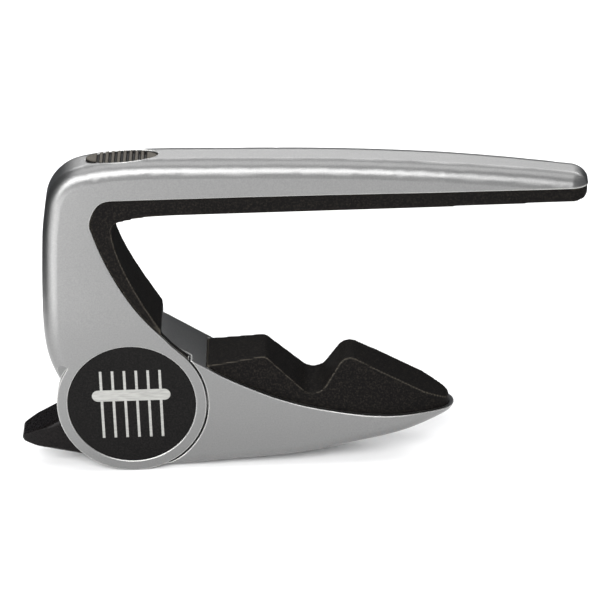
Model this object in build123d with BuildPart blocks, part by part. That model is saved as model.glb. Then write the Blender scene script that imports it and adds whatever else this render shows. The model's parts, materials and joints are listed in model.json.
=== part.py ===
from build123d import *
import os
from math import cos, radians, sin, tan

os.makedirs("parts", exist_ok=True)

# A guitar capo: a one-piece arm and back with a rubber string pad, a notched lower jaw that
# turns on a wrap-spring clutch in the hub, and a small thumb lever that frees the clutch.
#
# Millimetres.  +X runs along the arm to its tip, +Y from the front badge to the back badge,
# +Z up.  The origin is the middle of the string pad's contact face.  Outlines are drawn about
# the hub axis, on planes that start there, so their numbers are distances from that axis.

# ---------------------------------------------------------------- driving dimensions
hub_x = -40.5                   # hub axis, from the middle of the string pad's face
hub_z = -32.2

hub_r = 12.0                    # round front cheek of the frame
hub_half = 6.0                  # half the depth of the whole hub
cheek_back = -3.9               # inner face of the front cheek
barrel_r = 11.65                # jaw and lever barrels behind the cheek
roof_r = 12.05                  # hollow of the frame over the barrels
sweep_r = 12.35                 # inside of the jaw's shoulder, round the cheek
barrel_front = -3.75
jaw_disc_front = 4.0            # back disc of the jaw
lever_half = 3.75               # half the depth of the lever

arm_half = 4.25                 # half the depth of the frame at the arm
tip_half = 3.75                 # and close to its tip
tip_round = 2.6
edge_round = 2.5                # long outer edges of the frame
pad_face_z = 32.2               # string pad's contact face above the hub axis
pad_face_x = 9.0                # its flat part starts here
pad_root_z = 35.2               # underside of the metal arm
pad_inset = 0.3                 # pad sides stand inside the metal's sides
pad_tongue_half = 1.8           # tongue of the pad in the arm's channel
pad_tongue_t = 1.2
tip_x = 73.8                    # tip of the arm from the hub axis

badge_r = 10.3
badge_fit = 0.05
badge_deep = 0.9                # recess in each side of the hub
badge_t = 0.75
motif_t = 0.2
string_count = 6                # thin lines of the motif
string_pitch = 1.9
string_w = 0.42
string_len = 12.0
bar_w = 2.0
bar_len = 12.6

drum_r = 4.6                    # clutch drum that the spring grips
drum_back = 4.4
spigot_r = 2.0
drum_screw_ring = 3.2
drum_screw_r = 0.6
drum_screw_head_r = 1.1
drum_screw_len = 3.2
plate_r = 6.4                   # plate that keeps the jaw on the drum
plate_t = 0.6
plate_bore_r = 6.8
plate_floor = 4.1
keep_screw_r = 1.25
keep_screw_head_r = 1.8
keep_screw_len = 5.0
washer_t = 0.25
washer_r = 6.4
bush_r = 5.55
bush_t_front = 1.1
running_gap = 0.05

wrap_wire = 0.6                 # wrap spring: square wire
wrap_pitch = 0.68
wrap_turns = 6
ring_r_in = 5.75                # lever's ring round the clutch
ring_r_out = 8.7
ring_half = 2.15
ear_r = 9.0                     # jaw's ears each side of the ring
ear_in = 2.4
ear_front = -3.5
step_r = 9.3                    # the wide parts start outside the ears
ring_slot_r = 9.1
lever_top_angle = 150           # ends of the lever's barrel, degrees about the hub
lever_low_angle = 238
jaw_top_angle = 112             # ends of the jaw's barrel
jaw_low_angle = -110
lever_edge = 0.9
lever_tip_x = -19.0
pin_r = 0.5
pin_ring = 7.2
pin_angle = 200
return_wire_r = 0.16
return_coil_r = 0.6
return_turns = 7
return_len = 5.4
return_ring = 9.95

grip_x = 0.4                    # ribbed thumb grip on top of the corner
grip_len = 11.5
grip_wide = 4.7
grip_floor_z = 39.9
grip_top_z = 41.0
grip_ribs = 9
grip_pitch = 0.93
grip_groove = 0.42

jaw_tip_x = 51.9
jaw_rim = 0.8                   # metal rim round the neck pad
jaw_round = 2.0
pocket_deep = 1.5
pocket_fade = 9.0               # the pocket runs out towards the jaw's tip over this length
pad_start_x = 12.2
pad_draft = 13.0                # degrees, sides of the neck pad
tail_t = 0.5                    # thin end of the liner, let into the cheek's edge
tail_angle = 38.0
tail_front = -5.4


# ---------------------------------------------------------------- planes about the hub axis
def side_plane(y=0.0):
    """Local x is +X and local y is +Z; an extrusion goes towards -Y."""
    return Plane(origin=(hub_x, y, hub_z), x_dir=(1, 0, 0), z_dir=(0, -1, 0))


def plan_plane(z=0.0):
    """Local x is +X and local y is +Y, at a height above the hub axis."""
    return Plane(origin=(hub_x, 0, hub_z + z), x_dir=(1, 0, 0), z_dir=(0, 0, 1))


def cross_plane(x=0.0):
    """Local x is +Y and local y is +Z; an extrusion goes towards +X."""
    return Plane(origin=(hub_x + x, 0, hub_z), x_dir=(0, 1, 0), z_dir=(1, 0, 0))


def polar(radius, angle):
    return (radius * cos(radians(angle)), radius * sin(radians(angle)))


def disc(radius, front, back, bore=0.0):
    """A disc or washer on the hub axis, between two depths."""
    with BuildPart() as turned:
        with BuildSketch(side_plane(back)):
            Circle(radius)
            if bore > 0:
                Circle(bore, mode=Mode.SUBTRACT)
        extrude(amount=back - front)
    return turned.part


def slice_of_disc(r_in, r_out, start, end, front, back):
    """Part of a ring about the hub axis, between two angles and two depths."""
    with BuildPart() as cut:
        with BuildSketch(side_plane(back)):
            with BuildLine():
                CenterArc((0, 0), r_out, start, end - start)
                Line(polar(r_out, end), polar(r_in, end))
                CenterArc((0, 0), r_in, start, end - start)
                Line(polar(r_in, start), polar(r_out, start))
            make_face()
        extrude(amount=back - front)
    return cut.part


# ---------------------------------------------------------------- outlines shared by the parts
# Throat: where the metal of the frame meets the black liner, from the arm's tip to the cheek.
foot_angle = 50
throat_foot = polar(roof_r, foot_angle)
toe = (5.3, 11.95)              # lower end of the liner on the throat
with BuildLine():
    under_arm = Spline((tip_x + 2, 34.5), (43.0, 35.0), (12.0, pad_root_z), (-1.4, pad_root_z),
                       tangents=[(-1, 0.02), (-1, 0)])
    elbow = Spline((-1.4, pad_root_z), (-4.3, 33.6), (-5.15, 31.0), (-4.6, 29.0),
                   tangents=[(-1, 0), (0.3, -1)])
    slope = Spline((-4.6, 29.0), (-1.75, 22.0), (1.95, 15.9), toe,
                   tangents=[(0.3, -1), (0.7, -0.75)])
    slope_end = Spline(toe, throat_foot, tangents=[(0.7, -0.75), (0.766, -0.643)])

# Liner: its inner face, from the arm's tip to its lower end.
liner_end = (5.3, 12.9)
with BuildLine():
    pad_end = Spline((pad_face_x, pad_face_z), (2.8, 31.9), (-0.9, 31.2),
                     tangents=[(-1, 0), (-1, -0.3)])
    inner_corner = Spline((-0.9, 31.2), (-1.75, 29.6), tangents=[(-1, -0.3), (0.1, -1)])
    inner_slope = Spline((-1.75, 29.6), (0.1, 22.9), liner_end,
                         tangents=[(0.1, -1), (0.6, -1)])

# Back and top of the frame, from the foot of the back to the nose at the arm's tip.
back_foot = (-11.4, 3.9)
chin_start = (tip_x - 1.8, pad_face_z)
with BuildLine():
    back = Spline(back_foot, (-12.6, 7.0), (-13.4, 16.0), (-12.8, 28.4), (-12.0, 34.2),
                  tangents=[(-0.45, 1), (0.17, 1)])
    corner = TangentArc((-12.0, 34.2), (-6.2, 40.3), tangent=back % 1)
    top = Spline((-6.2, 40.3), (12.5, 41.05), (28.5, 40.55), (44.4, 39.6), (60.7, 37.95),
                 (71.2, 36.5), tangents=[corner % 1, (1, -0.15)])
    nose = TangentArc((71.2, 36.5), (tip_x, 34.0), tangent=top % 1)
    chin = Spline((tip_x, 34.0), (tip_x - 0.45, 32.75), chin_start,
                  tangents=[nose % 1, (-1, 0)])

with BuildSketch(side_plane()) as envelope_outline:
    with BuildLine():
        add([back, corner, top, nose, chin])
        Line(chin_start, (pad_face_x, pad_face_z))
        add([pad_end, inner_corner, inner_slope])
        Line(liner_end, toe)
        add(slope_end)
        Polyline(throat_foot, (0, 0), back_foot)
    make_face()

# Everything on the throat's side of the metal: the frame loses it, the string pad fills it.
with BuildSketch(side_plane()) as pad_zone:
    with BuildLine():
        add([under_arm, elbow, slope])
        Polyline(toe, liner_end, (20, 20), (tip_x + 2, 20), under_arm @ 0)
    make_face()

# Thin tail of the liner, let into the edge of the cheek down to the jaw's shoulder.
with BuildSketch(side_plane(cheek_back)) as tail_outline:
    with BuildLine():
        lap = slope.trim(0.92, 1)
        add([lap, slope_end])
        CenterArc((0, 0), roof_r, tail_angle, foot_angle - tail_angle)
        Line(polar(roof_r, tail_angle), polar(roof_r - tail_t, tail_angle))
        CenterArc((0, 0), roof_r - tail_t, tail_angle, foot_angle - tail_angle)
        Polyline(polar(roof_r - tail_t, foot_angle), Vector(*toe) - Vector(0.4, 0.38), lap @ 0)
    make_face()


def end_view(inset=0.0):
    """End view of the frame: upright at the hub, then leaning in to the arm's depth."""
    wide = hub_half - inset
    slim = arm_half - inset
    with BuildSketch(cross_plane(-20)) as view:
        with BuildLine():
            Line((0, -14), (wide, -14))
            Line((wide, -14), (wide, 12.1))
            Spline((wide, 12.1), (slim + 1.0, 23), (slim, 34), (slim - 0.15, 43),
                   tangents=[(0, 1), (-0.02, 1)])
            Line((slim - 0.15, 43), (0, 43))
            mirror(about=Plane.YZ)
        make_face()
    return view.sketch


def top_view(inset=0.0):
    """Frame from above: full depth at the hub, slimmer at the arm, rounded at the tip."""
    root = arm_half + 0.4 - inset
    end = tip_half - inset
    front = tip_x - inset
    with BuildSketch(plan_plane(-14)) as view:
        with BuildLine():
            Polyline((-20, 0), (-20, 8), (20, 8), (28, root), (front - tip_round, end))
            RadiusArc((front - tip_round, end), (front, end - tip_round), tip_round)
            Line((front, end - tip_round), (front, 0))
            mirror(about=Plane.XZ)
        make_face()
    return view.sketch


def outer_edges(part):
    """Long edges of the frame's sides along its back, top and nose."""
    found = ShapeList()
    for edge in part.edges():
        middle = edge.center()
        on_outline = middle.X < hub_x - 10.5 or middle.Z > hub_z + pad_root_z
        across = abs(edge.tangent_at(0.5).Y) > 0.99
        if abs(middle.Y) > 1.5 and on_outline and not across:
            found.append(edge)
    return found


def grip_outline(margin=0.0):
    """Oval of the thumb grip, seen from above."""
    with BuildSketch(plan_plane(grip_floor_z)) as oval:
        with Locations((grip_x, 0)):
            Ellipse(grip_len / 2 + margin, grip_wide / 2 + margin)
    return oval.sketch


# ---------------------------------------------------------------- frame: arm, back and cheek
scoop_deep = 1.6                # hollow beside the hub at the foot of the back
scoop_r = 10.95
screw_spots = [polar(drum_screw_ring, angle) for angle in (90, 210, 330)]
with BuildPart() as frame:
    extrude(envelope_outline.sketch, amount=hub_half, both=True)
    extrude(end_view(), amount=110, mode=Mode.INTERSECT)
    extrude(top_view(), amount=60, mode=Mode.INTERSECT)
    fillet(outer_edges(frame.part), radius=edge_round)
    for side in (-1, 1):
        scoop_y = side * (hub_half + scoop_r - scoop_deep)
        with Locations((hub_x - 13.5, scoop_y, hub_z + 2.5)):
            Sphere(scoop_r, mode=Mode.SUBTRACT)
    extrude(pad_zone.sketch, amount=hub_half + 1, both=True, mode=Mode.SUBTRACT)
    add(disc(hub_r, -hub_half, cheek_back))
    add(disc(roof_r, cheek_back, hub_half + 1), mode=Mode.SUBTRACT)
    with BuildSketch(side_plane(hub_half + 1)):
        with Locations(toe):
            Rectangle(4, 6, align=(Align.MIN, Align.CENTER))
    extrude(amount=hub_half + 1 - cheek_back, mode=Mode.SUBTRACT)
    extrude(tail_outline.sketch, amount=cheek_back - tail_front, mode=Mode.SUBTRACT)
    add(disc(badge_r + badge_fit, -hub_half - 1, badge_deep - hub_half), mode=Mode.SUBTRACT)
    add(disc(spigot_r, -hub_half, cheek_back), mode=Mode.SUBTRACT)
    with Locations(side_plane(badge_deep - hub_half)):
        with Locations(*screw_spots):
            CounterSinkHole(drum_screw_r, drum_screw_head_r, depth=3, counter_sink_angle=90)
    extrude(grip_outline(), amount=4, mode=Mode.SUBTRACT)
    with BuildSketch(cross_plane(6)):
        with Locations((0, pad_root_z)):
            Rectangle(2 * pad_tongue_half, 2 * pad_tongue_t)
    extrude(amount=62, mode=Mode.SUBTRACT)
frame.part.label = "frame"
export_step(frame.part, "parts/frame.step")

# ---------------------------------------------------------------- string pad and its liner
with BuildPart() as string_pad:
    extrude(envelope_outline.sketch, amount=hub_half, both=True)
    extrude(pad_zone.sketch, amount=hub_half, both=True, mode=Mode.INTERSECT)
    extrude(end_view(pad_inset), amount=110, mode=Mode.INTERSECT)
    extrude(top_view(pad_inset), amount=60, mode=Mode.INTERSECT)
    extrude(tail_outline.sketch, amount=cheek_back - tail_front)
    with BuildSketch(cross_plane(6)):
        with Locations((0, pad_root_z)):
            Rectangle(2 * pad_tongue_half, 2 * pad_tongue_t)
    extrude(amount=62)
string_pad.part.label = "string_pad"
export_step(string_pad.part, "parts/string_pad.step")

# ---------------------------------------------------------------- ribbed thumb grip
with BuildPart() as thumb_grip:
    extrude(grip_outline(-0.08), amount=grip_top_z - grip_floor_z)
    with BuildSketch(plan_plane(grip_top_z)):
        with Locations((grip_x, 0)):
            with GridLocations(grip_pitch, 1, grip_ribs, 1):
                Rectangle(grip_groove, grip_wide)
    extrude(amount=-0.35, mode=Mode.SUBTRACT)
thumb_grip.part.label = "thumb_grip"
export_step(thumb_grip.part, "parts/thumb_grip.step")


# ---------------------------------------------------------------- badges, one each side
def badge(face_y, outward):
    """Inlaid disc whose face looks along outward, and the lines let into it."""
    inner_y = face_y - outward * badge_t
    floor_y = face_y - outward * motif_t
    with BuildSketch(side_plane()) as lines:
        with GridLocations(string_pitch, 1, string_count, 1):
            Rectangle(string_w, string_len)
        with Locations((0, 1.6)):
            SlotOverall(bar_len, bar_w)
    motif_solid = extrude(lines.sketch.moved(Location((0, floor_y, 0))), amount=-outward * motif_t)
    with BuildPart() as plain:
        add(disc(badge_r, min(face_y, inner_y), max(face_y, inner_y)))
        add(motif_solid, mode=Mode.SUBTRACT)
    return plain.part, motif_solid


face_gap = 0.08                 # badge faces sit just below the metal
for label, outward in (("front", -1), ("back", 1)):
    badge_disc, badge_lines = badge(outward * (hub_half - face_gap), outward)
    badge_disc.label = "badge_" + label
    badge_lines.label = "badge_lines_" + label
    export_step(badge_disc, "parts/badge_" + label + ".step")
    export_step(badge_lines, "parts/badge_lines_" + label + ".step")

# ---------------------------------------------------------------- clutch drum and its fasteners
with BuildPart() as clutch_drum:
    add(disc(drum_r, cheek_back, drum_back))
    add(disc(spigot_r - 0.02, badge_deep - hub_half + 0.1, cheek_back))
    with Locations(side_plane(cheek_back)):
        with Locations(*screw_spots):
            Hole(drum_screw_r, depth=drum_screw_len)
    add(disc(keep_screw_r, drum_back - keep_screw_len, drum_back), mode=Mode.SUBTRACT)
clutch_drum.part.label = "clutch_drum"
export_step(clutch_drum.part, "parts/clutch_drum.step")


def countersunk(spot, top_y, way, head_r, shank_r, length):
    """A flat-headed screw along Y; way is +1 when its point lies towards +Y."""
    x, z = spot
    head_t = head_r - shank_r
    with BuildPart() as screw:
        with BuildSketch(cross_plane(x)):
            with BuildLine():
                Polyline((top_y, z), (top_y, z + head_r), (top_y + way * head_t, z + shank_r),
                         (top_y + way * length, z + shank_r), (top_y + way * length, z),
                         close=True)
            make_face()
        revolve(axis=Axis((hub_x + x, 0, hub_z + z), (0, 1, 0)))
    return screw.part


# Three countersunk screws under the front badge hold the drum to the cheek.
with BuildPart() as drum_screws:
    for spot in screw_spots:
        add(countersunk(spot, badge_deep - hub_half, 1, drum_screw_head_r, drum_screw_r,
                        cheek_back - badge_deep + hub_half + drum_screw_len))
drum_screws.part.label = "drum_screws"
export_step(drum_screws.part, "parts/drum_screws.step")

# Behind the jaw a plate and one screw keep it on the drum, with a thin washer under the plate.
keep_washer = disc(washer_r, plate_floor + 0.03, drum_back - 0.02, drum_r + running_gap)
keep_washer.label = "keep_washer"
export_step(keep_washer, "parts/keep_washer.step")

with BuildPart() as keep_plate:
    add(disc(plate_r, drum_back, drum_back + plate_t))
    with Locations(side_plane(drum_back)):
        Hole(keep_screw_r, depth=3)
    add(countersunk((0, 0), drum_back + plate_t, -1, keep_screw_head_r, keep_screw_r, 3),
        mode=Mode.SUBTRACT)
keep_plate.part.label = "keep_plate"
export_step(keep_plate.part, "parts/keep_plate.step")

keep_screw = countersunk((0, 0), drum_back + plate_t, -1, keep_screw_head_r, keep_screw_r,
                         keep_screw_len)
keep_screw.label = "keep_screw"
export_step(keep_screw, "parts/keep_screw.step")

# Washer between the cheek and the jaw's front ear.
cheek_washer = disc(washer_r, cheek_back, cheek_back + washer_t, drum_r)
cheek_washer.label = "cheek_washer"
export_step(cheek_washer, "parts/cheek_washer.step")

# ---------------------------------------------------------------- lower jaw
rim_points = [(pad_start_x, 6.0), (19.9, 1.67), (25.3, -0.62), (30.9, -2.19), (36.6, -3.3),
              (42.3, -3.9), (48.0, -4.05), (jaw_tip_x - 0.6, -4.2)]
heel_r = barrel_r - 0.02
heel_angle = 57.5               # the heel leaves the barrel as a tangent here
heel_start = polar(heel_r, heel_angle)

# The belly is rounded while the sides still stand tall; the top is then cut to the rim.
tall = 14
with BuildSketch(side_plane()) as belly_outline:
    with BuildLine():
        belly = Spline((jaw_tip_x + 1, -4.75), (44.0, -7.15), (36.0, -8.7), (27.8, -10.3),
                       (16.3, -11.25), polar(heel_r, -95), tangents=[(-1, -0.25), (-1, 0.087)])
        Polyline(polar(heel_r, -95), (0, 0), (0, tall), (jaw_tip_x + 1, tall), belly @ 0)
    make_face()
with BuildSketch(side_plane()) as above_rim:
    with BuildLine():
        Line(heel_start, rim_points[0])
        rim = Spline(*rim_points, tangents=[(1, -0.68), (1, -0.05)])
        Polyline(rim @ 1, (jaw_tip_x + 1, -4.25), (jaw_tip_x + 1, tall), (0, tall), (0, 0), heel_start)
    make_face()


def jaw_plan(inset=0.0):
    """Jaw from above: full depth, then drawn in to a rounded tip."""
    half = hub_half - inset
    tip = jaw_tip_x - inset
    with BuildSketch(plan_plane(-16)) as view:
        with BuildLine():
            Polyline((-16, 0), (-16, half), (34, half))
            Spline((34, half), (44, half - 0.75), (49, half - 2.4), (tip, 0),
                   tangents=[(1, 0), (0, -1)])
            mirror(about=Plane.XZ)
        make_face()
    return view.sketch


# Hollow for the neck pad, a little below the rim and inside it.
with BuildSketch(side_plane()) as pocket_outline:
    with BuildLine():
        floor_points = [(x, z - pocket_deep * min(1, (jaw_tip_x - x) / pocket_fade))
                        for x, z in rim_points]
        floor_line = Spline(*floor_points, tangents=[(1, -0.68), (1, -0.05)])
        Polyline(floor_line @ 1, (jaw_tip_x, 12), (pad_start_x, 12), floor_line @ 0)
    make_face()
with BuildPart() as pad_pocket:
    extrude(pocket_outline.sketch, amount=hub_half, both=True)
    extrude(jaw_plan(jaw_rim), amount=40, mode=Mode.INTERSECT)

with BuildPart() as jaw:
    extrude(belly_outline.sketch, amount=hub_half, both=True)
    extrude(jaw_plan(), amount=40, mode=Mode.INTERSECT)
    belly_edges = jaw.edges().filter_by(GeomType.BSPLINE).filter_by(
        lambda edge: abs(edge.center().Y) > 3 and edge.center().Z < hub_z - 5)
    fillet(belly_edges, radius=jaw_round)
    extrude(above_rim.sketch, amount=hub_half + 1, both=True, mode=Mode.SUBTRACT)
    add(disc(sweep_r, -hub_half - 1, barrel_front), mode=Mode.SUBTRACT)
    add(slice_of_disc(1, barrel_r, jaw_low_angle, jaw_top_angle, barrel_front, jaw_disc_front))
    add(disc(barrel_r, jaw_disc_front, hub_half))
    add(disc(ear_r, ear_front, jaw_disc_front))
    add(disc(ear_r + 0.3, barrel_front - 1, ear_front), mode=Mode.SUBTRACT)
    add(disc(ring_slot_r, -ear_in, ear_in), mode=Mode.SUBTRACT)
    add(disc(bush_r, -hub_half, hub_half), mode=Mode.SUBTRACT)
    add(disc(plate_bore_r, plate_floor, hub_half), mode=Mode.SUBTRACT)
    add(disc(badge_r + badge_fit, hub_half - badge_deep, hub_half + 1), mode=Mode.SUBTRACT)
    add(pad_pocket.part, mode=Mode.SUBTRACT)
jaw.part.label = "jaw"
export_step(jaw.part, "parts/jaw.step")

# Bushes pressed into the jaw's ears run on the drum.
bush_front = disc(bush_r, ear_front, ear_front + bush_t_front, drum_r + running_gap)
bush_front.label = "bush_front"
export_step(bush_front, "parts/bush_front.step")
bush_back = disc(bush_r, ear_in, plate_floor, drum_r + running_gap)
bush_back.label = "bush_back"
export_step(bush_back, "parts/bush_back.step")

# ---------------------------------------------------------------- neck pad
# The bed of the neck lies in the notch between two humps.
with BuildSketch(side_plane()) as neck_pad_outline:
    with BuildLine():
        hump_line = FilletPolyline((pad_start_x, 5.95), (21.64, 6.95), (29.6, -0.85),
                                   (34.55, 6.5), (jaw_tip_x - 1.1, -2.75),
                                   radius=[1.4, 2.4, 2.1])
        Line(hump_line @ 1, floor_line @ 1)
        add(floor_line)
        Line(floor_line @ 0, hump_line @ 0)
    make_face()


def pad_plan(height, shift):
    """Plan of the neck pad's drafted sides at a height; shift widens it on each side."""
    half_widths = [(pad_start_x, 6.6), (30, 5.25), (40, 4.7), (48, 3.6), (jaw_tip_x, 2.7)]
    near = [(x, -half - shift) for x, half in half_widths]
    far = [(x, half + shift) for x, half in reversed(half_widths)]
    with BuildSketch(plan_plane(height)) as plan:
        with BuildLine():
            Polyline(*near, *far, close=True)
        make_face()
    return plan.sketch


draft = tan(radians(pad_draft))
low_plan = pad_plan(-8, 7 * draft)      # the half widths are those at height -1
high_plan = pad_plan(8, -9 * draft)
with BuildPart() as neck_pad:
    loft([low_plan, high_plan], ruled=True)
    extrude(neck_pad_outline.sketch, amount=hub_half + 3, both=True, mode=Mode.INTERSECT)
    extrude(jaw_plan(jaw_rim), amount=40, mode=Mode.INTERSECT)
neck_pad.part.label = "neck_pad"
export_step(neck_pad.part, "parts/neck_pad.step")

# ---------------------------------------------------------------- springs of the clutch
wrap_height = wrap_turns * wrap_pitch
with BuildPart() as wrap_spring:
    wire_r = drum_r + running_gap + wrap_wire / 2
    with BuildLine():
        coil = Helix(pitch=wrap_pitch, height=wrap_height, radius=wire_r,
                     center=(hub_x, wrap_height / 2, hub_z), direction=(0, -1, 0))
    with BuildSketch(Plane(origin=coil @ 0, x_dir=(0, 1, 0), z_dir=coil % 0)):
        Rectangle(wrap_wire, wrap_wire)
    sweep(path=coil, is_frenet=True)
wrap_spring.part.label = "wrap_spring"
export_step(wrap_spring.part, "parts/wrap_spring.step")

# ---------------------------------------------------------------- release lever
wedge_top = polar(10.2, 194.5)
wedge_low = (-8.1, -10.4)
with BuildSketch(side_plane()) as wedge_outline:
    with BuildLine():
        FilletPolyline(wedge_top, (lever_tip_x - 0.6, -7.7), wedge_low, radius=0.75)
        Polyline(wedge_low, polar(10.2, 228), wedge_top)
    make_face()

with BuildSketch(plan_plane(-14)) as lever_plan:
    with BuildLine():
        Polyline((0, 0), (0, lever_half), (-12, lever_half))
        Spline((-12, lever_half), (-17, lever_half - 1.15), (lever_tip_x, 0),
               tangents=[(-1, 0), (0, -1)])
        mirror(about=Plane.XZ)
    make_face()

with BuildPart() as release_lever:
    extrude(wedge_outline.sketch, amount=lever_half, both=True)
    long_edges = release_lever.edges().filter_by(
        lambda edge: abs(edge.center().Y) > 3 and edge.center().X < hub_x - 9.5)
    fillet(long_edges.filter_by(lambda edge: edge.length > 4), radius=lever_edge)
    extrude(lever_plan.sketch, amount=28, mode=Mode.INTERSECT)
    add(slice_of_disc(step_r, barrel_r, lever_top_angle, lever_low_angle, -lever_half, lever_half))
    add(slice_of_disc(ring_r_out - 0.5, step_r + 0.2, lever_top_angle, lever_low_angle,
                      -ring_half, ring_half))
    add(disc(ring_r_out, -ring_half, ring_half, ring_r_in))
    add(disc(step_r, -hub_half, -ring_half), mode=Mode.SUBTRACT)
    add(disc(step_r, ring_half, hub_half), mode=Mode.SUBTRACT)
    with Locations(side_plane(ring_half)):
        with Locations(polar(pin_ring, pin_angle)):
            Hole(pin_r, depth=2 * ring_half)
release_lever.part.label = "release_lever"
export_step(release_lever.part, "parts/release_lever.step")

# Pin of the lever that pushes the wrap spring's tang.
with BuildPart() as tang_pin:
    with BuildSketch(side_plane(ring_half)):
        with Locations(polar(pin_ring, pin_angle)):
            Circle(pin_r)
    extrude(amount=2 * ring_half)
tang_pin.part.label = "tang_pin"
export_step(tang_pin.part, "parts/tang_pin.step")

# Small coil that returns the lever, between the upper ends of the two barrels.
spring_angle = (lever_top_angle + jaw_top_angle) / 2
spring_x, spring_z = polar(return_ring, spring_angle)
along = Vector(-sin(radians(spring_angle)), 0, cos(radians(spring_angle)))
spring_start = Vector(hub_x + spring_x, 0, hub_z + spring_z) - along * (return_len / 2)
with BuildPart() as return_spring:
    with BuildLine():
        small_coil = Helix(pitch=return_len / return_turns, height=return_len, radius=return_coil_r,
                           center=spring_start, direction=along)
    with BuildSketch(Plane(origin=small_coil @ 0, z_dir=small_coil % 0)):
        Circle(return_wire_r)
    sweep(path=small_coil, is_frenet=True)
return_spring.part.label = "return_spring"
export_step(return_spring.part, "parts/return_spring.step")
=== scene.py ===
# %% [markdown]
# # A one-hand guitar capo
#
# A capo clamps the strings behind a fret.  This one has a single casting for the arm and the
# back, a lower jaw that swings up under the neck, and a small thumb lever that lets it go
# again.  The metal pieces arrive ready made, at their real size, as the fixed frame.  What is
# left for this lesson is everything that the eye reads: moulded rubber with rounded edges and
# a fine grain, satin lacquer over cast metal, and the light that shows them.

import json
from math import cos, radians, sin

import bmesh
import bpy
from mathutils import Matrix, Vector


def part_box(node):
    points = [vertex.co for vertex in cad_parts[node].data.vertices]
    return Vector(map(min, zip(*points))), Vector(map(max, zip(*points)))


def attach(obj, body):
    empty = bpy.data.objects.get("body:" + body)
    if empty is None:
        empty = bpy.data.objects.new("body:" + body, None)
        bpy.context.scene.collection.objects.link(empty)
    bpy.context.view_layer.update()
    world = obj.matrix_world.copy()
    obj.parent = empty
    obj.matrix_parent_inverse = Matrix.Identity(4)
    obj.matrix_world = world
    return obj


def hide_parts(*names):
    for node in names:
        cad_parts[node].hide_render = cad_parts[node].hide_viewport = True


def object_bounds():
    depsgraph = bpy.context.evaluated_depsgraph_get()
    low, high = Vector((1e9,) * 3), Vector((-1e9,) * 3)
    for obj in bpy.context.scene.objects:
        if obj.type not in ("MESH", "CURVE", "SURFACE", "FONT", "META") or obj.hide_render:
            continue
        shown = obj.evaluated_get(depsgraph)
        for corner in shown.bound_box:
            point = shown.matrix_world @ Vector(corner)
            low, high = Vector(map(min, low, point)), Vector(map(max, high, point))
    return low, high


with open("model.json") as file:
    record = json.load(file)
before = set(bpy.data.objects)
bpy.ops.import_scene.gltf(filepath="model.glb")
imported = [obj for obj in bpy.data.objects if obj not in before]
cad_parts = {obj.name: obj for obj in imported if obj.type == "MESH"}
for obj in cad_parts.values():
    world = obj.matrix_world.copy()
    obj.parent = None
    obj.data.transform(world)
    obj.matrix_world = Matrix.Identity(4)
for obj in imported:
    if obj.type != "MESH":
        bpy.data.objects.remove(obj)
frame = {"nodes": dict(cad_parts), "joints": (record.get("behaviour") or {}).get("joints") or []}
cad_low, cad_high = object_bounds()
nodes = frame["nodes"]
print("pieces in the frame:", len(nodes))

# %% [markdown]
# ## Units and places
#
# Everything is placed from a few facts of the frame: the hub axis, which is where the jaw's
# hinge lies, and the box around the whole capo.  Lengths below are written in millimetres and
# multiplied by MM, because a small object is easier to think about that way.  Only the lamps
# and the floor, which are far larger than the capo, are written in metres.

# %% Units and reference places
MM = 0.001
hub = Vector(frame["joints"][0]["pos_m"])
middle = (Vector(cad_low) + Vector(cad_high)) / 2
floor_z = cad_low[2]
size = Vector(cad_high) - Vector(cad_low)
print("hub at", [round(c / MM, 1) for c in hub], "mm, size", [round(c / MM, 1) for c in size], "mm")

# %% [markdown]
# ## Camera
#
# The capo is looked at square to its side and from 26.6 degrees above, which turns every
# circle on the hub into an ellipse nine tenths as high.  A long lens far away keeps the view
# nearly free of perspective.  The arm lies turned by two degrees in this view, so the camera
# is first set up level and then turned about the hub.

# %% The camera
LOOK_DOWN = radians(26.6)
CAPO_TURN = radians(2.0)
LENS = 250.0
SENSOR = 36.0
NEAREST = 10 * MM
VIEW_HEIGHT = 96.0 * MM
aim = Vector((27.0, 0.0, 15.7)) * MM

away = VIEW_HEIGHT * LENS / SENSOR
lens_data = bpy.data.cameras.new("camera")
lens_data.lens = LENS
lens_data.sensor_width = SENSOR
lens_data.clip_start = NEAREST
camera = bpy.data.objects.new("camera", lens_data)
bpy.context.scene.collection.objects.link(camera)
stand = aim + Vector((0.0, -cos(LOOK_DOWN), sin(LOOK_DOWN))) * away
level = Matrix.Translation(stand) @ Matrix.Rotation(radians(90) - LOOK_DOWN, 4, "X")
camera.matrix_world = Matrix.Translation(hub) @ Matrix.Rotation(CAPO_TURN, 4, "Y") @ level
bpy.context.scene.camera = camera
print("camera stands", round(away, 3), "m away")

# %% [markdown]
# ## Colour
#
# Colours are picked as sRGB hex values, the way a paint card gives them, but a shader wants
# linear light, where half the number is half the light.  One function turns the first into
# the second.


# %% From a paint card to linear light
def linear(hex_colour):
    """sRGB hex such as A5A5A5 to linear red, green, blue and alpha."""
    parts = [int(hex_colour[i:i + 2], 16) / 255 for i in (0, 2, 4)]
    return [c / 12.92 if c <= 0.04045 else ((c + 0.055) / 1.055) ** 2.4 for c in parts] + [1.0]


print("the grey A5A5A5 is", round(linear("A5A5A5")[0], 3), "in linear light")

# %% [markdown]
# ## Nodes
#
# A finish is a small chain of nodes.  One function adds a node together with its settings and
# its links, so that each material below reads from top to bottom like a recipe.  Most chains
# have the same bones: a noise in object space, a Map Range that picks the part of the noise to
# use, a Mix between two tones, a Bump for the skin, and one shader at the end.


# %% One node at a time
def new_material(name):
    """A material with an empty node tree."""
    material = bpy.data.materials.new(name)
    material.use_nodes = True
    material.node_tree.nodes.clear()
    return material


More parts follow.
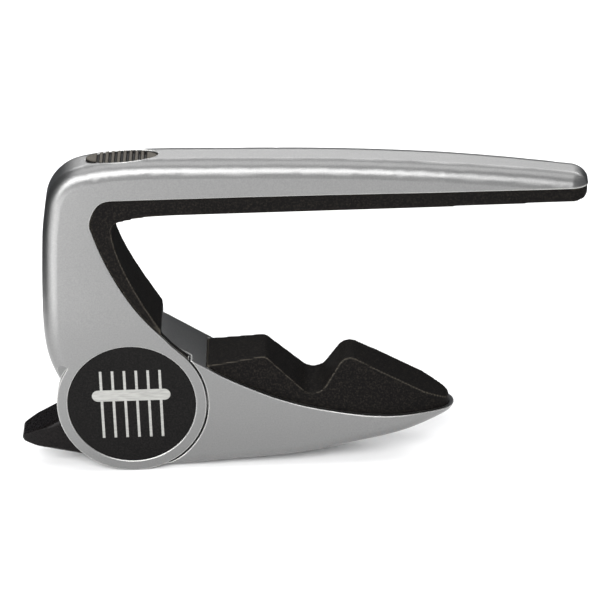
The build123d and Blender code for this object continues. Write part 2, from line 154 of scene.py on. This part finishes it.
def add(material, kind, inputs=None, **settings):
    """A new node in the material; inputs holds values, or the sockets to link from."""
    node = material.node_tree.nodes.new(kind)
    for name, value in settings.items():
        setattr(node, name, value)
    for name, value in (inputs or {}).items():
        if isinstance(value, bpy.types.NodeSocket):
            material.node_tree.links.new(value, node.inputs[name])
        else:
            node.inputs[name].default_value = value
    return node


# %% [markdown]
# ## Satin lacquer on cast metal
#
# The arm, back and jaw are die castings.  They are blasted, sprayed with a silver lacquer
# that holds fine metal flakes, and clear-coated.  To the eye that is a mid grey that never
# mirrors anything but gathers each lamp into a soft band along the rounded edges.  The blast
# leaves pits of about 0.1 mm.  They are drawn at 0.25 mm here, because finer ones would not
# show.  A flake lacquer reflects like metal, so the shader is fully metallic with the
# roughness of a satin coat, a little under 0.4, and a thin soft coat stands for the clear one.
#
# The crisp edges could be bevelled in the mesh, but the Bevel node rounds them by a third of a
# millimetre in the shading alone, as the tumbling of a casting does, and leaves the measured
# pieces untouched.  Where its normal leaves the surface's own, the lacquer is rubbed thinner
# and the metal shows brighter.

# %% Satin lacquered casting
FLAKE = 0.25 * MM
CLOUD = 9.0 * MM
CASTING_EDGE = 0.35 * MM
BEVEL_RAYS = 6
PIT_DEPTH = 0.02 * MM

casting = new_material("satin_lacquered_casting")
place = add(casting, "ShaderNodeTexCoord").outputs["Object"]
flakes = add(casting, "ShaderNodeTexNoise",
             {"Vector": place, "Scale": 1 / FLAKE, "Detail": 3.0, "Roughness": 0.6})
clouds = add(casting, "ShaderNodeTexNoise",
             {"Vector": place, "Scale": 1 / CLOUD, "Detail": 2.0, "Roughness": 0.5})
rounded = add(casting, "ShaderNodeBevel", {"Radius": CASTING_EDGE}, samples=BEVEL_RAYS)
plain = add(casting, "ShaderNodeNewGeometry").outputs["Normal"]
facing = add(casting, "ShaderNodeVectorMath",
             {0: rounded.outputs["Normal"], 1: plain}, operation="DOT_PRODUCT")
rubbed = add(casting, "ShaderNodeMapRange",
             {"Value": facing.outputs["Value"], "From Min": 0.995, "From Max": 0.80})
flake_share = add(casting, "ShaderNodeMapRange",
                  {"Value": flakes.outputs["Fac"], "From Min": 0.30, "From Max": 0.72})
lacquer = add(casting, "ShaderNodeMix",
              {"Factor": flake_share.outputs["Result"],
               "A": linear("7C7C7C"), "B": linear("868685")}, data_type="RGBA")
worn = add(casting, "ShaderNodeMix",
           {"Factor": rubbed.outputs["Result"],
            "A": lacquer.outputs["Result"], "B": linear("DADAD7")}, data_type="RGBA")
softness = add(casting, "ShaderNodeMapRange",
               {"Value": clouds.outputs["Fac"], "To Min": 0.34, "To Max": 0.40})
pits = add(casting, "ShaderNodeBump",
           {"Height": flakes.outputs["Fac"], "Normal": rounded.outputs["Normal"],
            "Strength": 0.05, "Distance": PIT_DEPTH})
casting_shader = add(casting, "ShaderNodeBsdfPrincipled",
                     {"Base Color": worn.outputs["Result"], "Metallic": 1.0,
                      "Roughness": softness.outputs["Result"], "Normal": pits.outputs["Normal"],
                      "Coat Weight": 0.12, "Coat Roughness": 0.25})
add(casting, "ShaderNodeOutputMaterial", {"Surface": casting_shader.outputs["BSDF"]})
print(casting.name, "has", len(casting.node_tree.nodes), "nodes")

# %% [markdown]
# ## Moulded pad rubber
#
# The pads are black silicone-like rubber, moulded in a spark-eroded tool.  The tool's
# texture gives a dull black with tiny grey specks about a third of a millimetre apart, where
# single grains catch the light.  Its IOR, 1.42, is silicone's, and the gloss is turned far
# down, because the texture scatters what a smooth skin would mirror.  The edges are painted a
# lighter grey, a painted highlight that stands for the light a rounded edge catches.  To place
# that painted highlight, each moulding carries a number at every point, edge_turn, that says
# how sharply its surface turns there.

# %% Pad rubber
PAD_GRAIN = 0.30 * MM
PAD_PATCH = 4 * MM
PAD_GRAIN_DEPTH = 0.04 * MM
EDGE_TURN = "edge_turn"

pad_rubber = new_material("moulded_pad_rubber")
place = add(pad_rubber, "ShaderNodeTexCoord").outputs["Object"]
grain = add(pad_rubber, "ShaderNodeTexNoise",
            {"Vector": place, "Scale": 1 / PAD_GRAIN, "Detail": 4.0, "Roughness": 0.7})
patches = add(pad_rubber, "ShaderNodeTexNoise",
              {"Vector": place, "Scale": 1 / PAD_PATCH, "Detail": 3.0})
speck_share = add(pad_rubber, "ShaderNodeMapRange",
                  {"Value": grain.outputs["Fac"], "From Min": 0.48, "From Max": 0.90})
specked = add(pad_rubber, "ShaderNodeMix",
              {"Factor": speck_share.outputs["Result"],
               "A": linear("0C0B0B"), "B": linear("302C27")}, data_type="RGBA")
edge_turn = add(pad_rubber, "ShaderNodeAttribute", attribute_name=EDGE_TURN)
# painted highlight: where edge_turn is high, the pad is painted a lighter grey, 4A463F
painted_highlight_share = add(pad_rubber, "ShaderNodeMapRange",
             {"Value": edge_turn.outputs["Fac"], "From Min": 0.30, "From Max": 0.80,
              "To Min": 0.0, "To Max": 0.9})
painted_edge_highlight = add(pad_rubber, "ShaderNodeMix",
              {"Factor": painted_highlight_share.outputs["Result"],
               "A": specked.outputs["Result"], "B": linear("4A463F")}, data_type="RGBA")
dullness = add(pad_rubber, "ShaderNodeMapRange",
               {"Value": patches.outputs["Fac"], "To Min": 0.55, "To Max": 0.72})
moulded = add(pad_rubber, "ShaderNodeBump",
              {"Height": grain.outputs["Fac"], "Strength": 0.45, "Distance": PAD_GRAIN_DEPTH})
pad_shader = add(pad_rubber, "ShaderNodeBsdfPrincipled",
                 {"Base Color": painted_edge_highlight.outputs["Result"], "Roughness": dullness.outputs["Result"],
                  "Normal": moulded.outputs["Normal"], "IOR": 1.42,
                  "Specular IOR Level": 0.07})
add(pad_rubber, "ShaderNodeOutputMaterial", {"Surface": pad_shader.outputs["BSDF"]})
print(pad_rubber.name, "has", len(pad_rubber.node_tree.nodes), "nodes")

# %% [markdown]
# ## Grip rubber
#
# The little oval on top is a softer, browner rubber with moulded ribs.  Its ribs are real
# geometry; the material only adds dust in the grain and paler crests, since thumbs polish the
# tops of the ribs and leave the grooves dark.  The crests are found by their height.

# %% Grip rubber
GRIP_GRAIN = 0.22 * MM
GRIP_GRAIN_DEPTH = 0.03 * MM
CREST_DEPTH = 0.32 * MM
grip_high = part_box("thumb_grip")[1]

grip_rubber = new_material("ribbed_grip_rubber")
place = add(grip_rubber, "ShaderNodeTexCoord").outputs["Object"]
grain = add(grip_rubber, "ShaderNodeTexNoise",
            {"Vector": place, "Scale": 1 / GRIP_GRAIN, "Detail": 3.0, "Roughness": 0.65})
height = add(grip_rubber, "ShaderNodeSeparateXYZ", {"Vector": place}).outputs["Z"]
crest = add(grip_rubber, "ShaderNodeMapRange",
            {"Value": height, "From Min": grip_high.z - CREST_DEPTH, "From Max": grip_high.z})
uneven = add(grip_rubber, "ShaderNodeMath",
             {0: crest.outputs["Result"], 1: grain.outputs["Fac"]}, operation="MULTIPLY")
dust_share = add(grip_rubber, "ShaderNodeMapRange",
                 {"Value": uneven.outputs["Value"], "From Min": 0.15, "From Max": 0.62})
brown = add(grip_rubber, "ShaderNodeMix",
            {"Factor": dust_share.outputs["Result"],
             "A": linear("0E0C0B"), "B": linear("4F4A42")}, data_type="RGBA")
gritty = add(grip_rubber, "ShaderNodeBump",
             {"Height": grain.outputs["Fac"], "Strength": 0.4, "Distance": GRIP_GRAIN_DEPTH})
grip_shader = add(grip_rubber, "ShaderNodeBsdfPrincipled",
                  {"Base Color": brown.outputs["Result"], "Roughness": 0.52,
                   "Normal": gritty.outputs["Normal"], "IOR": 1.45, "Specular IOR Level": 0.2})
add(grip_rubber, "ShaderNodeOutputMaterial", {"Surface": grip_shader.outputs["BSDF"]})
print(grip_rubber.name, "has", len(grip_rubber.node_tree.nodes), "nodes")

# %% [markdown]
# ## Black lever paint
#
# The lever is a small casting too, but painted black over the same blasted skin.  Satin paint
# dries with an orange peel a few tenths of a millimetre wide and keeps a soft highlight on a
# rounded edge, faintly warm.  The same noise drives tone, gloss and bump, because on real
# paint the three change together.

# %% Black satin paint
PEEL = 0.35 * MM
PEEL_DEPTH = 0.03 * MM
PAINTED_EDGE = 0.3 * MM

black_paint = new_material("black_satin_paint")
place = add(black_paint, "ShaderNodeTexCoord").outputs["Object"]
orange_peel = add(black_paint, "ShaderNodeTexNoise",
                  {"Vector": place, "Scale": 1 / PEEL, "Detail": 3.0, "Roughness": 0.6})
rounded = add(black_paint, "ShaderNodeBevel", {"Radius": PAINTED_EDGE}, samples=BEVEL_RAYS)
peel_share = add(black_paint, "ShaderNodeMapRange",
                 {"Value": orange_peel.outputs["Fac"], "From Min": 0.35, "From Max": 0.75})
paint_tone = add(black_paint, "ShaderNodeMix",
                 {"Factor": peel_share.outputs["Result"],
                  "A": linear("080707"), "B": linear("151212")}, data_type="RGBA")
peel = add(black_paint, "ShaderNodeBump",
           {"Height": orange_peel.outputs["Fac"], "Normal": rounded.outputs["Normal"],
            "Strength": 0.35, "Distance": PEEL_DEPTH})
gloss = add(black_paint, "ShaderNodeMapRange",
            {"Value": orange_peel.outputs["Fac"], "To Min": 0.20, "To Max": 0.36})
paint_shader = add(black_paint, "ShaderNodeBsdfPrincipled",
                   {"Base Color": paint_tone.outputs["Result"],
                    "Roughness": gloss.outputs["Result"], "Normal": peel.outputs["Normal"],
                    "IOR": 1.5, "Specular IOR Level": 0.1})
add(black_paint, "ShaderNodeOutputMaterial", {"Surface": paint_shader.outputs["BSDF"]})
print(black_paint.name, "has", len(black_paint.node_tree.nodes), "nodes")

# %% [markdown]
# ## The badge's black inlay
#
# Each badge is a disc of black ABS, moulded with a fine spark texture and dropped into the
# hub.  Like the pads it is a dull black with grey specks, but harder and a little colder, so
# it has a chain of its own with ABS's IOR of 1.53.

# %% Black ABS inlay
SPARK = 0.28 * MM
SPARK_DEPTH = 0.02 * MM

inlay = new_material("black_abs_inlay")
place = add(inlay, "ShaderNodeTexCoord").outputs["Object"]
spark = add(inlay, "ShaderNodeTexNoise",
            {"Vector": place, "Scale": 1 / SPARK, "Detail": 4.0, "Roughness": 0.7})
spark_share = add(inlay, "ShaderNodeMapRange",
                  {"Value": spark.outputs["Fac"], "From Min": 0.42, "From Max": 0.80})
inlay_black = add(inlay, "ShaderNodeMix",
                  {"Factor": spark_share.outputs["Result"],
                   "A": linear("090909"), "B": linear("201E1D")}, data_type="RGBA")
inlay_bump = add(inlay, "ShaderNodeBump",
                 {"Height": spark.outputs["Fac"], "Strength": 0.3, "Distance": SPARK_DEPTH})
inlay_dull = add(inlay, "ShaderNodeMapRange",
                 {"Value": spark.outputs["Fac"], "To Min": 0.42, "To Max": 0.60})
inlay_shader = add(inlay, "ShaderNodeBsdfPrincipled",
                   {"Base Color": inlay_black.outputs["Result"],
                    "Roughness": inlay_dull.outputs["Result"],
                    "Normal": inlay_bump.outputs["Normal"], "IOR": 1.53,
                    "Specular IOR Level": 0.07})
add(inlay, "ShaderNodeOutputMaterial", {"Surface": inlay_shader.outputs["BSDF"]})
print(inlay.name, "has", len(inlay.node_tree.nodes), "nodes")

# %% [markdown]
# ## The badge's silver lines
#
# The lines are foil pressed into the inlay: metal thinner than paper, brushed along the arm,
# so it reads as a soft silver grey and not as a mirror.  The brushing is noise drawn out to
# about eight times its width along X.  Pressed foil is dulled by wrinkles too fine to draw,
# so it is given as only half a metal, which keeps it from mirroring.

# %% Silver foil
BRUSH = 0.2 * MM
BRUSH_DEPTH = 0.01 * MM
ALONG = (0.12, 1.0, 1.0)

foil = new_material("pressed_silver_foil")
place = add(foil, "ShaderNodeTexCoord").outputs["Object"]
along = add(foil, "ShaderNodeMapping", {"Vector": place, "Scale": ALONG})
brushing = add(foil, "ShaderNodeTexNoise",
               {"Vector": along.outputs["Vector"], "Scale": 1 / BRUSH, "Detail": 3.0})
brush_share = add(foil, "ShaderNodeMapRange",
                  {"Value": brushing.outputs["Fac"], "From Min": 0.30, "From Max": 0.75})
silver = add(foil, "ShaderNodeMix",
             {"Factor": brush_share.outputs["Result"],
              "A": linear("8F8F8C"), "B": linear("A8A8A4")}, data_type="RGBA")
foil_bump = add(foil, "ShaderNodeBump",
                {"Height": brushing.outputs["Fac"], "Strength": 0.2, "Distance": BRUSH_DEPTH})
foil_shader = add(foil, "ShaderNodeBsdfPrincipled",
                  {"Base Color": silver.outputs["Result"], "Metallic": 0.55, "Roughness": 0.42,
                   "Normal": foil_bump.outputs["Normal"]})
add(foil, "ShaderNodeOutputMaterial", {"Surface": foil_shader.outputs["BSDF"]})
print(foil.name, "has", len(foil.node_tree.nodes), "nodes")

# %% [markdown]
# ## Inside the hub: turned steel
#
# Nobody sees the drum, screws and plate until the hub is taken apart, but the finish is
# chosen all the same.  Turned steel carries fine rings about the hub axis, left by the tool
# every tenth of a millimetre and drawn here at three tenths, because finer ones would not
# show.  A Wave texture in rings about Y gives them once the hub is moved to its centre.

# %% Turned steel
TOOL_MARK = 0.3 * MM
TOOL_MARK_DEPTH = 0.01 * MM
RING_AT_SCALE_ONE = 0.31416    # metres from ring to ring of the Wave texture at scale 1

steel = new_material("turned_steel")
place = add(steel, "ShaderNodeTexCoord").outputs["Object"]
centred = add(steel, "ShaderNodeMapping", {"Vector": place, "Location": (-hub.x, 0.0, -hub.z)})
rings = add(steel, "ShaderNodeTexWave",
            {"Vector": centred.outputs["Vector"], "Scale": RING_AT_SCALE_ONE / TOOL_MARK,
             "Distortion": 0.6, "Detail": 2.0}, wave_type="RINGS", rings_direction="Y")
ring_share = add(steel, "ShaderNodeMapRange",
                 {"Value": rings.outputs["Fac"], "From Min": 0.10, "From Max": 0.90})
steel_tone = add(steel, "ShaderNodeMix",
                 {"Factor": ring_share.outputs["Result"],
                  "A": linear("9C9C9E"), "B": linear("BEBEC0")}, data_type="RGBA")
steel_bump = add(steel, "ShaderNodeBump",
                 {"Height": rings.outputs["Fac"], "Strength": 0.2, "Distance": TOOL_MARK_DEPTH})
steel_shader = add(steel, "ShaderNodeBsdfPrincipled",
                   {"Base Color": steel_tone.outputs["Result"], "Metallic": 1.0,
                    "Roughness": 0.28, "Normal": steel_bump.outputs["Normal"]})
add(steel, "ShaderNodeOutputMaterial", {"Surface": steel_shader.outputs["BSDF"]})
print(steel.name, "has", len(steel.node_tree.nodes), "nodes")

# %% [markdown]
# ## Inside the hub: spring wire
#
# The wrap spring and the return spring are drawn wire, hardened in oil.  The oil burns to a
# thin dark skin, so the wire is darker than turned steel, blotched, and a little rougher.

# %% Spring wire
BLOTCH = 0.25 * MM
BLOTCH_DEPTH = 0.01 * MM

wire = new_material("oil_tempered_wire")
place = add(wire, "ShaderNodeTexCoord").outputs["Object"]
blotches = add(wire, "ShaderNodeTexNoise",
               {"Vector": place, "Scale": 1 / BLOTCH, "Detail": 3.0, "Roughness": 0.6})
blotch_share = add(wire, "ShaderNodeMapRange",
                   {"Value": blotches.outputs["Fac"], "From Min": 0.30, "From Max": 0.72})
wire_tone = add(wire, "ShaderNodeMix",
                {"Factor": blotch_share.outputs["Result"],
                 "A": linear("4A4746"), "B": linear("807E7C")}, data_type="RGBA")
wire_bump = add(wire, "ShaderNodeBump",
                {"Height": blotches.outputs["Fac"], "Strength": 0.25, "Distance": BLOTCH_DEPTH})
wire_shader = add(wire, "ShaderNodeBsdfPrincipled",
                  {"Base Color": wire_tone.outputs["Result"], "Metallic": 1.0,
                   "Roughness": 0.36, "Normal": wire_bump.outputs["Normal"]})
add(wire, "ShaderNodeOutputMaterial", {"Surface": wire_shader.outputs["BSDF"]})
print(wire.name, "has", len(wire.node_tree.nodes), "nodes")

# %% [markdown]
# ## Inside the hub: acetal
#
# The bushes and washers are moulded in acetal, a slippery off-white plastic with a waxy look.
# A trace of subsurface light gives the wax, and broad faint noise the marks of the flow.

# %% Acetal
FLOW_MARK = 0.8 * MM
FLOW_MARK_DEPTH = 0.02 * MM

acetal = new_material("natural_acetal")
place = add(acetal, "ShaderNodeTexCoord").outputs["Object"]
flow = add(acetal, "ShaderNodeTexNoise", {"Vector": place, "Scale": 1 / FLOW_MARK, "Detail": 3.0})
flow_share = add(acetal, "ShaderNodeMapRange",
                 {"Value": flow.outputs["Fac"], "From Min": 0.30, "From Max": 0.72})
acetal_tone = add(acetal, "ShaderNodeMix",
                  {"Factor": flow_share.outputs["Result"],
                   "A": linear("D6D2C6"), "B": linear("E6E2D8")}, data_type="RGBA")
acetal_bump = add(acetal, "ShaderNodeBump",
                  {"Height": flow.outputs["Fac"], "Strength": 0.15, "Distance": FLOW_MARK_DEPTH})
acetal_shader = add(acetal, "ShaderNodeBsdfPrincipled",
                    {"Base Color": acetal_tone.outputs["Result"], "Roughness": 0.45,
                     "IOR": 1.48, "Normal": acetal_bump.outputs["Normal"],
                     "Subsurface Weight": 0.05})
add(acetal, "ShaderNodeOutputMaterial", {"Surface": acetal_shader.outputs["BSDF"]})
print(acetal.name, "has", len(acetal.node_tree.nodes), "nodes")

# %% [markdown]
# ## Finishes on the hard pieces
#
# Now each hard piece gets its finish.  A piece of the frame keeps its mesh and its place;
# only its material slot is filled anew.  Names beside finishes read like a parts list, and a
# wrong name stops the script at once.

# %% Which piece has which finish
finishes = {
    "frame": casting,
    "jaw": casting,
    "release_lever": black_paint,
    "badge_front": inlay,
    "badge_back": inlay,
    "badge_lines_front": foil,
    "badge_lines_back": foil,
    "clutch_drum": steel,
    "drum_screws": steel,
    "keep_plate": steel,
    "keep_screw": steel,
    "tang_pin": steel,
    "wrap_spring": wire,
    "return_spring": wire,
    "keep_washer": acetal,
    "cheek_washer": acetal,
    "bush_front": acetal,
    "bush_back": acetal,
}
for name, material in finishes.items():
    nodes[name].data.materials.clear()
    nodes[name].data.materials.append(material)
print("finished", len(finishes), "hard pieces")

# %% [markdown]
# ## How sharply a rubber surface turns
#
# The pad rubber's edges carry a painted highlight, a lighter grey that stands for the light a
# rounded edge catches.  To find the edges, each point looks along the edges that meet in it: on
# a flat face they lie square to the point's normal, and at a corner they all fall away from it.
# The mean fall, made larger and held between 0 and 1, is stored with the point, where the pad
# rubber reads it to place the painted highlight.

# %% Edge marks
TURN_GAIN = 4.0


def mark_edges(mesh, voxel):
    """Writes edge_turn: 0 on flat or hollow places, 1 where a corner turns within a voxel."""
    turned = bmesh.new()
    turned.from_mesh(mesh)
    turned.normal_update()
    values = []
    for point in turned.verts:
        falls = [(point.co - edge.other_vert(point).co).normalized().dot(point.normal)
                 for edge in point.link_edges]
        values.append(min(1.0, max(0.0, TURN_GAIN * sum(falls) / len(falls))))
    turned.free()
    attribute = mesh.attributes.new(EDGE_TURN, "FLOAT", "POINT")
    attribute.data.foreach_set("value", values)
    print(mesh.name, "sharpest turn", round(max(values), 2), "at", round(voxel / MM, 2), "mm")


# %% [markdown]
# ## Rubber mouldings
#
# The pads and the thumb grip come as plain sharp-edged solids that only hold the space.  A
# moulding has no sharp edge: rubber shrinks in the tool and every corner comes out rounded.
# The corners could be bevelled one by one, but a bevel trips over the long thin triangles of
# such a solid.  Here each solid is rebuilt in even voxels, fine enough to keep its outline,
# and then relaxed for a few rounds, which rounds every corner by about the same amount and
# leaves flat faces flat.

# %% One way to mould a soft piece
WELD = 0.001 * MM
RELAX_STEP = 0.5


def mould(node_name, piece_name, voxel, rounds, material, body):
    """A rounded moulding in the place of a plain soft solid."""
    solid = nodes[node_name].data.copy()
    piece = bpy.data.objects.new(piece_name, solid)
    bpy.context.scene.collection.objects.link(piece)
    welded = bmesh.new()
    welded.from_mesh(solid)
    bmesh.ops.remove_doubles(welded, verts=welded.verts, dist=WELD)
    welded.to_mesh(solid)
    welded.free()
    remesh = piece.modifiers.new("even_voxels", "REMESH")
    remesh.mode = "VOXEL"
    remesh.voxel_size = voxel
    remesh.use_smooth_shade = True
    relax = piece.modifiers.new("relax", "SMOOTH")
    relax.factor = RELAX_STEP
    relax.iterations = rounds
    shaped = bpy.data.meshes.new_from_object(piece.evaluated_get(
        bpy.context.evaluated_depsgraph_get()))
    piece.modifiers.clear()
    piece.data = shaped
    bpy.data.meshes.remove(solid)
    shaped.name = piece_name
    shaped.materials.clear()
    shaped.materials.append(material)
    mark_edges(shaped, voxel)
    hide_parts(node_name)
    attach(piece, body)
    print(piece_name, len(shaped.vertices), "points")
    return piece


# %% [markdown]
# The string pad with its liner and the neck pad are large and plain, so a voxel of a quarter
# of a millimetre holds them.  The thumb grip's ribs are fine and need a voxel under a tenth.
# A round of relaxing moves a point by less than a voxel, so the finer moulding also keeps the
# crisper edges.  All three are solid rubber, filled through.

# %% String pad with its liner, neck pad and thumb grip
PAD_VOXEL = 0.24 * MM
RIB_VOXEL = 0.09 * MM

string_moulding = mould("string_pad", "string_pad_moulding", PAD_VOXEL, 5, pad_rubber,
                        "frame")
neck_moulding = mould("neck_pad", "neck_pad_moulding", PAD_VOXEL, 4, pad_rubber,
                      "jaw")
grip_moulding = mould("thumb_grip", "thumb_grip_moulding", RIB_VOXEL, 4, grip_rubber,
                      "frame")

# %% [markdown]
# ## The floor
#
# Satin metal shows its surroundings more than its own colour, so the floor matters as much as
# the lacquer: the sides of the capo mirror it.  It is matt pale paint, nearly white, faintly
# mottled so that it is not dead flat.  It lies a tenth of a millimetre under the capo, so that
# the two never share a plane.

# %% Floor paint
MOTTLES = 30.0    # per metre

floor_paint = new_material("matt_floor_paint")
place = add(floor_paint, "ShaderNodeTexCoord").outputs["Object"]
mottle = add(floor_paint, "ShaderNodeTexNoise", {"Vector": place, "Scale": MOTTLES, "Detail": 2.0})
mottle_share = add(floor_paint, "ShaderNodeMapRange",
                   {"Value": mottle.outputs["Fac"], "From Min": 0.2, "From Max": 0.8})
floor_tone = add(floor_paint, "ShaderNodeMix",
                 {"Factor": mottle_share.outputs["Result"],
                  "A": linear("F3F3F3"), "B": linear("F6F6F6")}, data_type="RGBA")
floor_shader = add(floor_paint, "ShaderNodeBsdfPrincipled",
                   {"Base Color": floor_tone.outputs["Result"], "Roughness": 0.9,
                    "Specular IOR Level": 0.1})
add(floor_paint, "ShaderNodeOutputMaterial", {"Surface": floor_shader.outputs["BSDF"]})
print(floor_paint.name, "has", len(floor_paint.node_tree.nodes), "nodes")

# %% The floor
FLOOR_HALF = 3.0
FLOOR_GAP = 0.1 * MM

floor_mesh = bpy.data.meshes.new("floor")
corners = [(-FLOOR_HALF, -FLOOR_HALF), (FLOOR_HALF, -FLOOR_HALF),
           (FLOOR_HALF, FLOOR_HALF), (-FLOOR_HALF, FLOOR_HALF)]
floor_mesh.from_pydata([(x, y, floor_z - FLOOR_GAP) for x, y in corners], [], [(0, 1, 2, 3)])
floor_mesh.materials.append(floor_paint)
floor = bpy.data.objects.new("floor", floor_mesh)
bpy.context.scene.collection.objects.link(floor)
print("floor", 2 * FLOOR_HALF, "m square")

# %% [markdown]
# ## Light
#
# Each lamp is a plain soft panel, and each draws one band on the rounded edges of the metal:
# the front one the bright ridge along the arm, the one behind and the one above the flat top.
# The left one and a very small low one draw the bright edge down the back.  Between two bands
# lies a darker line, which is what makes the edge look round.  Pale air fills the rest.


# %% The lamps
def soft_panel(name, place, target, width, height, watts):
    """A rectangular lamp that looks from its place at a target, in metres."""
    light = bpy.data.lights.new(name, "AREA")
    light.shape = "RECTANGLE"
    light.size = width
    light.size_y = height
    light.energy = watts
    lamp = bpy.data.objects.new(name, light)
    lamp.location = place
    lamp.rotation_euler = (Vector(target) - Vector(place)).to_track_quat("-Z", "Y").to_euler()
    bpy.context.scene.collection.objects.link(lamp)
    return lamp


soft_panel("panel_front", middle + Vector((-0.14, -0.42, 0.34)), middle,
           width=0.66, height=0.32, watts=4.2)
soft_panel("panel_behind", middle + Vector((0.0, 0.44, 0.34)), middle,
           width=0.90, height=0.20, watts=2.2)
soft_panel("panel_above", middle + Vector((0.0, 0.04, 0.50)), middle,
           width=0.70, height=0.34, watts=1.5)
soft_panel("panel_left", middle + Vector((-0.42, -0.38, 0.14)), middle,
           width=0.14, height=0.36, watts=0.9)
edge_glow = Vector((cad_low[0] - 0.030, -0.075, floor_z + 0.018))
low_lamp = soft_panel("panel_low", edge_glow, Vector((cad_low[0], 0.0, middle.z)),
                      width=0.05, height=0.03, watts=0.012)
low_lamp.visible_camera = False
print("lamps:", len(bpy.data.lights))

# %% The air around
AIR_COLOUR = "E8E9EC"
AIR_STRENGTH = 0.42

world = bpy.data.worlds.new("studio_air")
world.use_nodes = True
world.node_tree.nodes["Background"].inputs["Color"].default_value = linear(AIR_COLOUR)
world.node_tree.nodes["Background"].inputs["Strength"].default_value = AIR_STRENGTH
bpy.context.scene.world = world
bpy.context.scene.view_settings.view_transform = "Standard"
print("air strength", AIR_STRENGTH)

# %% [markdown]
# ## Dark flags
#
# On a white floor the edges of pale metal melt into the background.  A studio stands black
# card beside the object, outside the view, and the metal mirrors it as a dark outline.  Here
# one card stands close behind the arm and a second one at the left.  Neither is seen itself,
# and neither throws a shadow.

# %% Black card
card_black = new_material("black_card")
card_shader = add(card_black, "ShaderNodeBsdfPrincipled",
                  {"Base Color": linear("1C2026"), "Roughness": 0.9})
add(card_black, "ShaderNodeOutputMaterial", {"Surface": card_shader.outputs["BSDF"]})
print(card_black.name, "has", len(card_black.node_tree.nodes), "nodes")


# %% The flags
def flag(name, place, width, height, turn):
    """A black card, upright on the floor, that shows only as a reflection."""
    half = width / 2
    card_mesh = bpy.data.meshes.new(name)
    card_mesh.from_pydata([(-half, 0, 0), (half, 0, 0), (half, 0, height), (-half, 0, height)],
                          [], [(0, 1, 2, 3)])
    card_mesh.materials.append(card_black)
    card = bpy.data.objects.new(name, card_mesh)
    card.location = place
    card.rotation_euler = (0, 0, turn)
    card.visible_camera = False
    card.visible_diffuse = False
    card.visible_shadow = False
    bpy.context.scene.collection.objects.link(card)
    print(name, "is", width, "x", height, "m")


flag("flag_behind", (middle.x, middle.y + 0.045, floor_z), width=0.30, height=0.058, turn=0.0)
flag("flag_left", (cad_low[0] - 0.06, middle.y + 0.03, floor_z), width=0.12, height=0.14,
     turn=radians(75))
